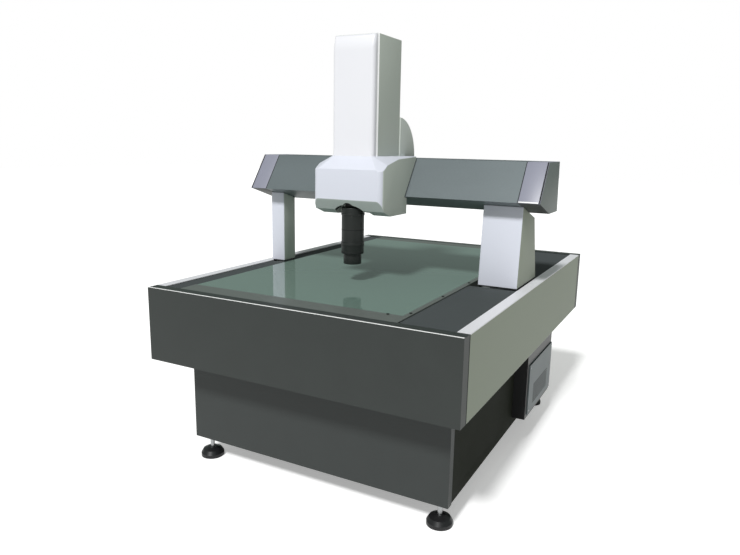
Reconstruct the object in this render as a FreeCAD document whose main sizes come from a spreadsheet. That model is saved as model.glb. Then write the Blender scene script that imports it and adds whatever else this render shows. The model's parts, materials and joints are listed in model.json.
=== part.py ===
import FreeCAD, Part
import math
import os
import re
import Sketcher

# Gantry coordinate measuring machine. X runs to the right along the bridge beam, Y runs from the
# front to the rear along the table, Z is up. The origin is on the floor under the table's centre.

doc = FreeCAD.newDocument("CoordinateMeasuringMachine")
sheet = doc.addObject("Spreadsheet::Sheet", "Sizes")

sizes = {
    # Table and its covers
    "tableWidth": 1500, "tableDepth": 2086, "tableTop": 871, "skirtHeight": 338,
    "endCoverDepth": 58, "sheetWall": 4, "railCapWidth": 50,
    # Granite base and the frame that stands under it
    "graniteSide": 60, "graniteInset": 35, "graniteThick": 140, "graniteTop": 700,
    "standTube": 98, "cabinetWidth": 1312, "cabinetFrontInset": 170, "cabinetRearInset": 343,
    "cabinetBottom": 115, "cabinetPan": 38, "cabinetLip": 7,
    # Levelling feet
    "padRadius": 55, "padRim": 16, "padHeight": 44, "padNeck": 20, "padFloor": 12,
    "padShoulder": 45, "padShoulderHeight": 33,
    "stemRadius": 10, "stemReach": 60, "nutRadius": 17, "nutHeight": 16,
    # Glass stage
    "rightSlot": 234, "leftSlot": 89, "endPlateDepth": 100, "glassThick": 10,
    "frameStrip": 24, "glassLedge": 15, "stageBeamWidth": 50, "stageBeamDrop": 26,
    "rightBeamWidth": 61, "standGap": 10, "standWidth": 50, "standShelf": 10,
    "screwHeadRadius": 6, "screwHeadHeight": 3, "screwPitch": 335, "plateScrewInset": 60,
    "plateScrewOffset": 9,
    # Bellows over the two long slots
    "bellowsThick": 6, "bellowsDrop": 3, "bellowsGap": 2, "glassEdgeGap": 6,
    # Long guide rails on the granite
    "railWidth": 28, "railHeight": 24, "railInset": 50,
    "blockWidth": 64, "blockLength": 90, "blockLift": 6,
    # Ball screws and their motors
    "yScrewRadius": 12.5, "yScrewHeight": 740, "yMotorSize": 64, "yMotorLength": 85,
    "yScrewInset": 30, "yNutWall": 20, "yNutFront": 90, "yNutRear": 20,
    "xScrewRadius": 10, "xScrewHeight": 1418, "xMotorSize": 52, "xMotorLength": 80,
    "xNutHalf": 25, "xNutDepth": 16, "nutClear": 2, "screwTail": 10,
    "zScrewRadius": 8, "zMotorSize": 60, "zMotorLength": 110, "boreGap": 0.05,
    # Crossbeam under the glass and the two legs
    "crossFront": 205, "crossRear": 95, "crossBottom": 765, "crossTop": 822,
    "rightLegInset": 31, "leftLegInset": 10, "leftLegShy": 25,
    "legFront": 110, "legRear": 20, "leftLegFront": 165, "leftLegRear": 80, "legTop": 1240,
    # Column covers
    "columnLift": 4, "rightColumnGap": 4, "rightColumnWidth": 187, "rightFootFront": 205,
    "rightFootRear": 136, "columnTopFront": 175, "columnTopRear": 35, "leftColumnInset": 45,
    "leftColumnWidth": 83, "leftColumnFront": 175, "leftColumnRear": 70,
    # Beam across the bridge
    "beamOverhang": 90, "beamSeam": 2, "capWidth": 100, "capNoseWall": 6.4,
    "beamNose": 250, "beamNoseHeight": 1273,
    "beamTop": 1451, "beamTopFront": 124, "beamTopRear": 85, "beamRear": 100,
    "beamBottom": 1215, "beamKeel": 58, "slotFront": 112, "slotRear": 8,
    "coreFront": 110, "coreRear": 60, "coreTop": 1400, "coreGap": 6, "earLength": 20,
    "earWall": 10, "earCap": 12,
    "xRailWidth": 20, "xRailHeight": 20, "xRailSpread": 28, "xRailMiddle": 60,
    "xBlockWidth": 34, "xBlockLength": 56, "xBlockSpread": 80, "xBlockLift": 5,
    "runnerGap": 0.3,
    # Carriage that runs along the beam
    "headOffset": 40, "plateBottom": 1458, "plateThick": 20, "plateHalf": 100, "plateRear": 15,
    "backPlateRear": 270, "backPlateThick": 20, "backPlateHalf": 90, "backPlateBottom": 1232,
    "zFootHalf": 20, "zFootGap": 4, "zFootHeight": 18,
    "coverHalf": 181, "coverFront": 500, "coverShoulder": 1400, "coverBelly": 1190,
    "coverCrest": 1462, "coverWall": 6, "coverGap": 8, "coverRound": 40, "archHalf": 118,
    "archFront": 490, "archRear": 300, "archDrop": 10, "archRise": 40, "coverHeel": 226,
    "cutMargin": 20,
    # Tower cover
    "towerHalf": 113.5, "towerFront": 450, "towerRear": 190, "towerTop": 1995,
    "towerBottom": 1395, "towerWall": 5, "towerRound": 30, "bulgeTop": 1645,
    "bulgeBottom": 1480, "bulgeRear": 14, "bulgeSide": 10, "bulgeRound": 150, "gateGap": 2,
    "gateRise": 60,
    # Vertical slide and optics
    "zRailWidth": 20, "zRailDepth": 15, "zRailSpread": 60, "zRailTop": 1840,
    "slideRear": 345, "slideThick": 15, "slideHalf": 85, "slideBottom": 1205, "slideTop": 1560,
    "zBlockHalf": 20, "zBlockLength": 60, "zBlockRise": 78, "zBlockGap": 3, "zScrewMiddle": 322,
    "zNutHalf": 20, "zNutHeight": 50, "zNutRise": 40, "zNutGap": 6,
    "lensMiddle": 435, "lensRadius": 53, "lensTop": 1225, "tipRadius": 42.5, "tipLength": 50,
    "lensTip": 958, "clampHalf": 62, "cameraHalf": 40, "cameraGap": 10, "cameraTop": 1370,
    # Backlight under the glass
    "armHalf": 60, "armThick": 10, "armRear": 60, "lightHalf": 55, "lightTop": 848,
    "diffuserInset": 8, "diffuserThick": 2,
    # Control box on the right-hand side of the cabinet
    "boxDepth": 66, "boxFront": 5, "boxRear": 512, "boxBottom": 160, "boxTop": 520,
    "boxPanelThick": 6, "boxPanelFront": 35, "boxPanelRear": 507, "boxPanelBottom": 178,
    "boxPanelTop": 440,
}
for row, (alias, value) in enumerate(sizes.items(), 1):
    sheet.set(f"A{row}", alias)
    sheet.set(f"B{row}", str(value))
    sheet.setAlias(f"B{row}", alias)
doc.recompute()

# Lengths worked out from the sizes, as formulas of the same form
derived = {
    # Heights
    "skirtBottom": "tableTop - skirtHeight",
    "glassBottom": "tableTop - glassThick",
    "graniteBottom": "graniteTop - graniteThick",
    "columnBase": "tableTop + columnLift",
    # Across the table, from its middle
    "halfWidth": "tableWidth / 2",
    "halfGranite": "halfWidth - graniteSide",
    "stageRight": "halfWidth - railCapWidth - rightSlot",
    "stageLeft": "halfWidth - railCapWidth - leftSlot",
    "glassRight": "stageRight - frameStrip",
    "glassLeft": "stageLeft - glassEdgeGap",
    "rightColumnOuter": "halfWidth - railCapWidth - rightColumnGap",
    "rightColumnInner": "rightColumnOuter - rightColumnWidth",
    "leftColumnOuter": "halfWidth - leftColumnInset",
    "leftColumnInner": "leftColumnOuter - leftColumnWidth",
    "rightLegOuter": "rightColumnOuter - rightLegInset",
    "rightLegInner": "rightColumnInner + rightLegInset",
    "leftLegOuter": "leftColumnOuter - leftLegShy",
    "leftLegInner": "leftColumnInner + leftLegInset",
    "railRight": "(rightLegInner + rightLegOuter) / 2",
    "railLeft": "(leftLegInner + leftLegOuter) / 2",
    "standX": "cabinetWidth / 2 - sheetWall - standTube / 2",
    "boxFace": "cabinetWidth / 2 + boxDepth",
    # Along the table, from its middle
    "coverInner": "tableDepth / 2 - endCoverDepth",
    "glassReach": "coverInner - endPlateDepth",
    "graniteReach": "coverInner - graniteInset",
    "railReach": "graniteReach - railInset",
    "cabinetFront": "tableDepth / 2 - cabinetFrontInset",
    "cabinetRear": "tableDepth / 2 - cabinetRearInset",
    "standFrontY": "0 - cabinetFront + sheetWall + standTube / 2",
    "standRearY": "cabinetRear - sheetWall - standTube / 2",
    "screwStart": "yScrewInset - coverInner",
    "motorRear": "coverInner - standGap - standWidth",
    # Beam and carriage
    "beamReach": "rightColumnOuter + beamOverhang",
    "coreReach": "beamReach - capWidth - coreGap",
    "keelSlope": "(beamNoseHeight - beamBottom) / (beamNose - beamKeel)",
    "headX": "0 - headOffset",
    "backFace": "0 - backPlateRear - backPlateThick",
    "zNutBottom": "(slideBottom + slideTop) / 2 + zNutRise",
}
nodes = []


def bound(text):
    """Turns the names in a formula into cells of the sheet, and worked-out lengths into theirs."""

    def cell(word):
        name = word.group(0)
        return f"({bound(derived[name])})" if name in derived else f"Sizes.{name}"

    return re.sub(r"[A-Za-z]+", cell, str(text))


def named(piece, name):
    """Gives a finished sub-part its own label, which names its file."""
    piece.Label = name
    nodes.append(piece)
    return piece


def box(name, x, y, z):
    """A block between two limits along each axis."""
    piece = doc.addObject("Part::Box", name)
    for side, axis, (low, high) in zip(("Length", "Width", "Height"), "xyz", (x, y, z)):
        piece.setExpression(side, bound(f"({high}) - ({low})"))
        piece.setExpression(f"Placement.Base.{axis}", bound(low))
    return piece


TURNS = {
    "x": FreeCAD.Rotation(FreeCAD.Vector(0, 1, 0), 90),
    "y": FreeCAD.Rotation(FreeCAD.Vector(1, 0, 0), -90),
    "z": FreeCAD.Rotation(),
}


def rod(name, axis, radius, low, high, across):
    """A round bar along one axis. across holds its place along the other two, in XYZ order."""
    piece = doc.addObject("Part::Cylinder", name)
    piece.Placement = FreeCAD.Placement(FreeCAD.Vector(), TURNS[axis])
    piece.setExpression("Radius", bound(radius))
    piece.setExpression("Height", bound(f"({high}) - ({low})"))
    others = [letter for letter in "xyz" if letter != axis]
    piece.setExpression(f"Placement.Base.{axis}", bound(low))
    for letter, text in zip(others, across):
        piece.setExpression(f"Placement.Base.{letter}", bound(text))
    return piece


def cut(name, base, *tools):
    """Takes the tools away from the base, one after another."""
    for number, tool in enumerate(tools, 1):
        last = number == len(tools)
        piece = doc.addObject("Part::Cut", name if last else f"{name}_cut{number}")
        piece.Base = base
        piece.Tool = tool
        base = piece
    return base


def fuse(name, *pieces):
    """Joins touching pieces into one solid without inner seams."""
    piece = doc.addObject("Part::MultiFuse", name)
    piece.Shapes = list(pieces)
    piece.Refine = True
    return piece


def group(name, pieces):
    """Keeps several like solids apart in one sub-part."""
    piece = doc.addObject("Part::Compound", name)
    piece.Links = list(pieces)
    return piece


def draw(sketch, points, closed=True):
    """Draws straight lines through points, each dimensioned from the sketch's origin."""
    count = len(points)
    start = [FreeCAD.Vector(100 * math.cos(math.tau * step / count),
                            100 * math.sin(math.tau * step / count), 0) for step in range(count)]
    lines = count if closed else count - 1
    for line in range(lines):
        sketch.addGeometry(Part.LineSegment(start[line], start[(line + 1) % count]), False)
    for line in range(lines if closed else lines - 1):
        sketch.addConstraint(Sketcher.Constraint("Coincident", line, 2, (line + 1) % lines, 1))
    for number, texts in enumerate(points):
        line, end = (number, 1) if number < lines else (number - 1, 2)
        for kind, text, value in zip(("DistanceX", "DistanceY"), texts, start[number]):
            index = sketch.addConstraint(Sketcher.Constraint(kind, -1, 1, line, end, value))
            sketch.setExpression(f"Constraints[{index}]", bound(text))


PLANES = {"x": "YZ_Plane", "y": "XZ_Plane", "z": "XY_Plane"}


def body_sketch(name, axis, points):
    """A body with one closed outline on the origin plane that faces along the axis."""
    body = doc.addObject("PartDesign::Body", name)
    sketch = body.newObject("Sketcher::SketchObject", f"{name}_outline")
    planes = [item for item in body.Origin.OriginFeatures if item.Role == PLANES[axis]]
    sketch.AttachmentSupport = [(planes[0], "")]
    sketch.MapMode = "FlatFace"
    draw(sketch, points)
    return body, sketch


def prism(name, axis, points, low, high):
    """An outline drawn out from low to high along an axis. The XZ plane faces backwards."""
    body, sketch = body_sketch(name, axis, points)
    pad = body.newObject("PartDesign::Pad", f"{name}_pad")
    pad.Profile = sketch
    pad.setExpression("Length", bound(f"({high}) - ({low})"))
    body.setExpression(f"Placement.Base.{axis}", bound(high if axis == "y" else low))
    return body


def turned(name, points, x, y):
    """An outline in radius and height, turned about the vertical."""
    body, sketch = body_sketch(name, "y", points)
    spin = body.newObject("PartDesign::Revolution", f"{name}_turn")
    spin.Profile = sketch
    spin.ReferenceAxis = (sketch, ["V_Axis"])
    spin.Angle = 360
    body.setExpression("Placement.Base.x", bound(x))
    body.setExpression("Placement.Base.y", bound(y))
    return body


def bent_sheet(name, points, low, high, wall="sheetWall"):
    """A sheet of even thickness, bent along a line drawn in Y and Z, running along X."""
    sketch = doc.addObject("Sketcher::SketchObject", f"{name}_line")
    draw(sketch, points, closed=False)
    strip = doc.addObject("Part::Offset2D", f"{name}_strip")
    strip.Source = sketch
    strip.Mode = "Skin"
    strip.Join = "Intersection"
    strip.Fill = True
    strip.setExpression("Value", bound(f"0 - {wall}"))
    sheet_body = doc.addObject("Part::Extrusion", f"{name}_sheet")
    sheet_body.Base = strip
    sheet_body.DirMode = "Custom"
    sheet_body.Dir = FreeCAD.Vector(0, 0, 1)
    sheet_body.Solid = True
    sheet_body.setExpression("LengthFwd", bound(f"({high}) - ({low})"))
    turn = FreeCAD.Rotation(FreeCAD.Vector(0, 1, 0), FreeCAD.Vector(0, 0, 1), FreeCAD.Vector(1, 0, 0))
    sheet_body.Placement = FreeCAD.Placement(FreeCAD.Vector(), turn)
    sheet_body.setExpression("Placement.Base.x", bound(low))
    return sheet_body


def mirrored(name, source, normal):
    """The same piece on the other side of the table's centre."""
    piece = doc.addObject("Part::Mirroring", name)
    piece.Source = source
    piece.Normal = FreeCAD.Vector(*normal)
    return piece


def rounded(body, pick, radius):
    """Rounds the edges of the last feature that pick chooses by their extent within the whole."""
    doc.recompute()
    tip = body.Tip
    whole = tip.Shape.BoundBox
    edges = [f"Edge{number}" for number, edge in enumerate(tip.Shape.Edges, 1)
             if pick(edge.BoundBox, whole)]
    fillet = body.newObject("PartDesign::Fillet", f"{body.Name}_round")
    fillet.Base = (tip, edges)
    fillet.setExpression("Radius", bound(radius))
    body.Tip = fillet
    return body


SAME = 0.01


def in_front(span, whole):
    """An edge that lies in the front face."""
    return span.YMax - whole.YMin < SAME


def front_upright(span, whole):
    """One of the two upright edges of the front face."""
    return in_front(span, whole) and span.XLength < SAME


def top_rear(span, whole):
    """The long edge where the top meets the rear face."""
    return whole.YMax - span.YMin < SAME and whole.ZMax - span.ZMin < SAME


# ---------------------------------------------------------------- frame, granite and feet
corners = [(side, y) for side in ("-", "") for y in ("standFrontY", "standRearY")]
legs, pads = [], []
for number, (side, y) in enumerate(corners, 1):
    x = f"(0 {side or '+'} standX)"
    post = box(f"leg_post{number}", (f"{x} - standTube / 2", f"{x} + standTube / 2"),
               (f"{y} - standTube / 2", f"{y} + standTube / 2"),
               ("cabinetBottom", "graniteBottom - standTube"))
    boss = doc.addObject("Part::Prism", f"leg_boss{number}")
    boss.Polygon = 6
    boss.setExpression("Circumradius", bound("nutRadius"))
    boss.setExpression("Height", bound("nutHeight"))
    for letter, text in zip("xyz", (x, y, "cabinetBottom - nutHeight")):
        boss.setExpression(f"Placement.Base.{letter}", bound(text))
    socket = "stemRadius + boreGap"
    thread = rod(f"leg_thread{number}", "z", socket, "cabinetBottom - nutHeight",
                 "cabinetBottom + stemReach", (x, y))
    legs.append(cut(f"leg{number}", fuse(f"leg_with_boss{number}", post, boss), thread))
    pads.append(turned(f"pad{number}", [
        (socket, "padFloor"), (0, "padFloor"), (0, 0), ("padRadius", 0), ("padRadius", "padRim"),
        ("padShoulder", "padShoulderHeight"), ("padNeck", "padHeight"), (socket, "padHeight")], x, y))
    corner = ("left" if side else "right", "front" if y == "standFrontY" else "rear")
    stem = rod(f"stem{number}", "z", "stemRadius", "padFloor", "cabinetBottom + stemReach", (x, y))
    named(stem, f"foot_stem_{corner[1]}_{corner[0]}")
named(group("stand_legs", legs), "stand_legs")
named(group("foot_pads", pads), "foot_pads")

longBeams = []
for number, side in enumerate("-+"):
    across = (f"0 {side} standX - standTube / 2", f"0 {side} standX + standTube / 2")
    longBeams.append(box(f"long_beam{number}", across,
                         ("standFrontY - standTube / 2", "standRearY + standTube / 2"),
                         ("graniteBottom - standTube", "graniteBottom")))
named(group("stand_beams", longBeams), "stand_beams")
named(box("granite_base", ("0 - halfGranite", "halfGranite"), ("0 - graniteReach", "graniteReach"),
          ("graniteBottom", "graniteTop")), "granite_base")
rails = []
for number, middle in enumerate(("0 - railLeft", "railRight")):
    rails.append(box(f"long_rail{number}", (f"{middle} - railWidth / 2", f"{middle} + railWidth / 2"),
                     ("0 - railReach", "railReach"), ("graniteTop", "graniteTop + railHeight")))
named(group("y_guide_rails", rails), "y_guide_rails")

# ---------------------------------------------------------------- glass stage
standOutline = [
    ("standGap - coverInner", "graniteTop"), ("standGap - coverInner + standWidth", "graniteTop"),
    ("standGap - coverInner + standWidth", "glassBottom - standShelf"),
    ("glassLedge - glassReach", "glassBottom - standShelf"), ("glassLedge - glassReach", "glassBottom"),
    ("0 - glassReach", "glassBottom"), ("0 - glassReach", "tableTop - sheetWall"),
    ("standGap - coverInner", "tableTop - sheetWall")]


def stage_stand(name):
    """The stand under the front edge of the glass."""
    return prism(name, "x", standOutline, "0 - stageLeft", "stageRight")


screwSeat = rod("screw_seat", "y", "yScrewRadius + boreGap", "screwStart",
                "standGap - coverInner + standWidth", ("0", "yScrewHeight"))
frontStand = cut("front_stage_stand", stage_stand("front_stand_block"), screwSeat)
rearStand = mirrored("rear_stage_stand", stage_stand("rear_stand_block"), (0, 1, 0))
named(group("stage_stands", [frontStand, rearStand]), "stage_stands")

beamY = ("glassLedge - glassReach", "glassReach - glassLedge")
named(box("stage_beam_left", ("0 - stageLeft", "0 - stageLeft + stageBeamWidth"), beamY,
          ("glassBottom - stageBeamDrop", "glassBottom")), "stage_beam_left")
rightBeam = box("right_beam_base", ("stageRight - rightBeamWidth", "stageRight"), beamY,
                ("glassBottom - stageBeamDrop", "glassBottom"))
rightStrip = box("right_beam_strip", ("glassRight", "stageRight"), ("0 - glassReach", "glassReach"),
                 ("glassBottom", "tableTop"))
named(fuse("stage_beam_right", rightBeam, rightStrip), "stage_beam_right")
named(box("glass_pane", ("0 - glassLeft", "glassRight"), ("0 - glassReach", "glassReach"),
          ("glassBottom", "tableTop")), "glass_pane")
plates = []
for number, along in enumerate((("0 - coverInner", "0 - glassReach"), ("glassReach", "coverInner"))):
    plates.append(box(f"end_plate{number}", ("0 - stageLeft", "stageRight"), along,
                      ("tableTop - sheetWall", "tableTop")))
named(group("stage_end_plates", plates), "stage_end_plates")
stripScrews = 6
spots = [("glassRight + frameStrip / 2", f"screwPitch * {number - (stripScrews - 1) / 2}")
         for number in range(stripScrews)]
spots += [("glassRight - plateScrewInset", f"0 {side} (glassReach + plateScrewOffset)") for side in "-+"]
heads = [rod(f"screw_head{number}", "z", "screwHeadRadius", "tableTop", "tableTop + screwHeadHeight", spot)
         for number, spot in enumerate(spots)]
named(group("stage_screws", heads), "stage_screws")

# ---------------------------------------------------------------- covers of the table
for name, outer, hollow in (
        ("front_cover", ("0 - tableDepth / 2", "0 - coverInner"),
         ("sheetWall - tableDepth / 2", "0 - coverInner")),
        ("rear_cover", ("coverInner", "tableDepth / 2"), ("coverInner", "tableDepth / 2 - sheetWall"))):
    pan = box(f"{name}_block", ("0 - halfWidth", "halfWidth"), outer, ("skirtBottom", "tableTop"))
    inside = box(f"{name}_hollow", ("sheetWall - halfWidth", "halfWidth - sheetWall"), hollow,
                 ("skirtBottom + sheetWall", "tableTop - sheetWall"))
    named(cut(name, pan, inside), name)
flange = "standX + standTube / 2"
for side, name in ((1, "side_panel_right"), (-1, "side_panel_left")):
    across = [("halfWidth", "skirtBottom"), ("halfWidth", "tableTop"),
              ("halfWidth - railCapWidth", "tableTop"),
              ("halfWidth - railCapWidth", "tableTop - sheetWall"),
              ("halfWidth - sheetWall", "tableTop - sheetWall"),
              ("halfWidth - sheetWall", "skirtBottom + sheetWall"),
              (flange, "skirtBottom + sheetWall"), (flange, "skirtBottom")]
    outline = [(f"{side} * ({x})", z) for x, z in across]
    named(prism(f"{name}_body", "y", outline, "0 - coverInner", "coverInner"), name)

bellowsZ = ("tableTop - bellowsDrop - bellowsThick", "tableTop - bellowsDrop")
slots = {
    "right": (("stageRight + bellowsGap", "halfWidth - railCapWidth - bellowsGap"),
              ("0 - rightFootFront", "rightFootRear")),
    "left": (("railCapWidth + bellowsGap - halfWidth", "0 - stageLeft - bellowsGap"),
             ("0 - leftColumnFront", "0 - leftColumnRear")),
}
for side, (across, (front, rear)) in slots.items():
    named(box(f"bellows_{side}_front", across, ("0 - coverInner", front), bellowsZ),
          f"bellows_{side}_front")
    named(box(f"bellows_{side}_rear", across, (rear, "coverInner"), bellowsZ), f"bellows_{side}_rear")

cabinetX = ("0 - cabinetWidth / 2", "cabinetWidth / 2")
panX = ("sheetWall - cabinetWidth / 2", "cabinetWidth / 2 - sheetWall")
panFoot = "cabinetBottom - cabinetLip"
for name, outer, hollow in (
        ("cabinet_front", ("0 - cabinetFront", "cabinetPan - cabinetFront"),
         ("sheetWall - cabinetFront", "cabinetPan - cabinetFront")),
        ("cabinet_rear", ("cabinetRear - cabinetPan", "cabinetRear"),
         ("cabinetRear - cabinetPan", "cabinetRear - sheetWall"))):
    pan = box(f"{name}_block", cabinetX, outer, (panFoot, "skirtBottom"))
    inside = box(f"{name}_hollow", panX, hollow, (f"{panFoot} + sheetWall", "skirtBottom"))
    named(cut(name, pan, inside), name)
cabinetY = ("cabinetPan - cabinetFront", "cabinetRear - cabinetPan")
named(box("cabinet_left", ("0 - cabinetWidth / 2", "sheetWall - cabinetWidth / 2"), cabinetY,
          ("cabinetBottom", "skirtBottom")), "cabinet_left")
named(box("cabinet_right", ("cabinetWidth / 2 - sheetWall", "cabinetWidth / 2"), cabinetY,
          ("cabinetBottom", "skirtBottom")), "cabinet_right")
named(box("control_box", ("cabinetWidth / 2", "boxFace"), ("boxFront", "boxRear"), ("boxBottom", "boxTop")),
      "control_box")
named(box("control_box_panel", ("boxFace", "boxFace + boxPanelThick"), ("boxPanelFront", "boxPanelRear"),
          ("boxPanelBottom", "boxPanelTop")), "control_box_panel")

# ---------------------------------------------------------------- drive along Y
named(box("y_drive_motor", ("0 - yMotorSize / 2", "yMotorSize / 2"),
          ("motorRear - yMotorLength", "motorRear"),
          ("yScrewHeight - yMotorSize / 2", "yScrewHeight + yMotorSize / 2")), "y_drive_motor")
named(rod("y_ball_screw", "y", "yScrewRadius", "screwStart", "motorRear - yMotorLength",
          ("0", "yScrewHeight")), "y_ball_screw")

# ---------------------------------------------------------------- bridge: crossbeam, legs, columns
crossBlock = box("crossbeam_block", ("0 - leftLegOuter", "rightLegOuter"), ("0 - crossFront", "crossRear"),
                 ("crossBottom", "crossTop"))
nutHousing = box("y_nut_block", ("0 - yScrewRadius - yNutWall", "yScrewRadius + yNutWall"),
                 ("0 - yNutFront", "0 - yNutRear"), ("graniteTop + blockLift", "crossBottom"))
nutBore = rod("y_nut_bore", "y", "yScrewRadius + boreGap", "0 - yNutFront", "0 - yNutRear",
              ("0", "yScrewHeight"))
named(cut("lower_crossbeam", fuse("crossbeam_and_nut", crossBlock, nutHousing), nutBore), "lower_crossbeam")
blocks = []
for middle in ("0 - railLeft", "railRight"):
    for low in ("0 - crossFront", "crossRear - blockLength"):
        number = len(blocks)
        along = (low, f"{low} + blockLength")
        block = box(f"y_block_body{number}", (f"{middle} - blockWidth / 2", f"{middle} + blockWidth / 2"),
                    along, ("graniteTop + blockLift", "crossBottom"))
        slotHalf = "railWidth / 2 + runnerGap"
        slot = box(f"y_block_slot{number}", (f"{middle} - ({slotHalf})", f"{middle} + ({slotHalf})"),
                   along, ("graniteTop + blockLift", "graniteTop + railHeight + runnerGap"))
        blocks.append(cut(f"y_block{number}", block, slot))
named(group("y_runner_blocks", blocks), "y_runner_blocks")


def right_leg(name):
    return box(name, ("rightLegInner", "rightLegOuter"), ("0 - legFront", "legRear"), ("crossTop", "legTop"))


def left_leg(name):
    return box(name, ("0 - leftLegOuter", "0 - leftLegInner"), ("0 - leftLegFront", "0 - leftLegRear"),
               ("crossTop", "legTop"))


named(right_leg("right_leg"), "right_leg")
named(left_leg("left_leg"), "left_leg")
rightOuter = prism("right_column_outer", "x", [
    ("0 - rightFootFront", "columnBase"), ("rightFootRear", "columnBase"), ("columnTopRear", "beamBottom"),
    ("0 - beamKeel", "beamBottom"),
    ("0 - columnTopFront", "beamBottom + (columnTopFront - beamKeel) * keelSlope")],
    "rightColumnInner", "rightColumnOuter")
rightInner = prism("right_column_inner", "x", [
    ("sheetWall - rightFootFront", "columnBase"), ("rightFootRear - sheetWall", "columnBase"),
    ("columnTopRear - sheetWall", "beamBottom"), ("columnTopRear - sheetWall", "beamNoseHeight"),
    ("sheetWall - columnTopFront", "beamNoseHeight")],
    "rightColumnInner + sheetWall", "rightColumnOuter - sheetWall")
named(cut("right_column_cover", rightOuter, rightInner), "right_column_cover")
leftOuter = prism("left_column_outer", "x", [
    ("0 - leftColumnFront", "columnBase"), ("0 - leftColumnRear", "columnBase"),
    ("0 - leftColumnRear", "beamBottom + (leftColumnRear - beamKeel) * keelSlope"),
    ("0 - leftColumnFront", "beamBottom + (leftColumnFront - beamKeel) * keelSlope")],
    "0 - leftColumnOuter", "0 - leftColumnInner")
leftInner = box("left_column_inner", ("sheetWall - leftColumnOuter", "0 - leftColumnInner - sheetWall"),
                ("sheetWall - leftColumnFront", "0 - leftColumnRear - sheetWall"),
                ("columnBase", "beamNoseHeight"))
named(cut("left_column_cover", leftOuter, leftInner), "left_column_cover")

# ---------------------------------------------------------------- beam, its covers and X rails
coreBlock = box("core_block", ("0 - coreReach", "coreReach"), ("0 - coreFront", "coreRear"),
                ("legTop", "coreTop"))
earHalf = "xScrewRadius + earWall"
ears = [box(f"screw_ear{number}", (low, f"{low} + earLength"),
            (f"0 - xRailMiddle - ({earHalf})", f"0 - xRailMiddle + {earHalf}"),
            ("coreTop", "xScrewHeight + xScrewRadius + earCap"))
        for number, low in enumerate(("0 - coreReach", "coreReach - earLength"))]
earBore = rod("screw_ear_bore", "x", "xScrewRadius + boreGap", "0 - coreReach", "coreReach",
              ("0 - xRailMiddle", "xScrewHeight"))
named(cut("beam_core", fuse("core_and_ears", coreBlock, *ears), earBore), "beam_core")
beamX = ("capWidth - beamReach", "beamReach - capWidth")
frontSheet = bent_sheet("beam_front", [
    ("0 - slotFront", "beamTop"), ("0 - beamTopFront", "beamTop"),
    ("0 - beamNose", "beamNoseHeight"), ("0 - beamKeel", "beamBottom")], *beamX)
named(cut("beam_front_cover", frontSheet, right_leg("front_cover_leg_right"),
          left_leg("front_cover_leg_left")), "beam_front_cover")
rearSheet = bent_sheet("beam_rear", [
    ("beamSeam - beamKeel", "beamBottom"), ("beamRear", "beamBottom"),
    ("beamTopRear", "beamTop"), ("0 - slotRear", "beamTop")], *beamX)
named(cut("beam_rear_cover", rearSheet, right_leg("rear_cover_leg_right"),
          left_leg("rear_cover_leg_left")), "beam_rear_cover")
beamOutline = [("0 - beamNose", "beamNoseHeight"), ("0 - beamTopFront", "beamTop"),
               ("beamTopRear", "beamTop"), ("beamRear", "beamBottom"), ("0 - beamKeel", "beamBottom")]
capInner = [("capNoseWall - beamNose", "beamNoseHeight"),
            ("sheetWall - beamTopFront", "beamTop - sheetWall"),
            ("beamTopRear - sheetWall", "beamTop - sheetWall"),
            ("beamRear - sheetWall", "beamBottom + sheetWall"), ("0 - beamKeel", "beamBottom + sheetWall")]
for side, outer, inner in (
        ("right", ("beamReach - capWidth", "beamReach"), ("beamReach - capWidth", "beamReach - sheetWall")),
        ("left", ("0 - beamReach", "capWidth - beamReach"),
         ("sheetWall - beamReach", "capWidth - beamReach"))):
    named(cut(f"beam_cap_{side}", prism(f"cap_{side}_outer", "x", beamOutline, *outer),
              prism(f"cap_{side}_inner", "x", capInner, *inner)), f"beam_cap_{side}")
railY = [f"(0 - xRailMiddle {side} xRailSpread)" for side in "-+"]
xRails = [box(f"x_rail{number}", ("earLength - coreReach", "coreReach - earLength"),
              (f"{middle} - xRailWidth / 2", f"{middle} + xRailWidth / 2"),
              ("coreTop", "coreTop + xRailHeight"))
          for number, middle in enumerate(railY)]
named(group("x_guide_rails", xRails), "x_guide_rails")
named(rod("x_ball_screw", "x", "xScrewRadius", "0 - coreReach", "coreReach + screwTail",
          ("0 - xRailMiddle", "xScrewHeight")), "x_ball_screw")
named(box("x_drive_motor", ("coreReach + screwTail", "coreReach + screwTail + xMotorLength"),
          ("0 - xRailMiddle - xMotorSize / 2", "0 - xRailMiddle + xMotorSize / 2"),
          ("xScrewHeight - xMotorSize / 2", "xScrewHeight + xMotorSize / 2")), "x_drive_motor")

# ---------------------------------------------------------------- X carriage
shelf = box("carriage_shelf", ("headX - plateHalf", "headX + plateHalf"),
            ("0 - backPlateRear", "0 - plateRear"), ("plateBottom", "plateBottom + plateThick"))
backPlate = box("carriage_back", ("headX - backPlateHalf", "headX + backPlateHalf"),
                ("backFace", "0 - backPlateRear"), ("backPlateBottom", "towerTop - towerWall"))
xNut = box("x_nut_block", ("headX - xNutHalf", "headX + xNutHalf"),
           ("0 - xRailMiddle - xNutDepth", "0 - xRailMiddle + xNutDepth"),
           ("coreTop + nutClear", "plateBottom"))
zFoot = box("z_screw_foot", ("headX - zFootHalf", "headX + zFootHalf"), ("zFootGap - slideRear", "backFace"),
            ("backPlateBottom", "backPlateBottom + zFootHeight"))
xNutBore = rod("x_nut_bore", "x", "xScrewRadius + boreGap", "headX - xNutHalf", "headX + xNutHalf",
               ("0 - xRailMiddle", "xScrewHeight"))
zFootBore = rod("z_foot_bore", "z", "zScrewRadius + boreGap", "backPlateBottom",
                "backPlateBottom + zFootHeight", ("headX", "0 - zScrewMiddle"))
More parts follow.
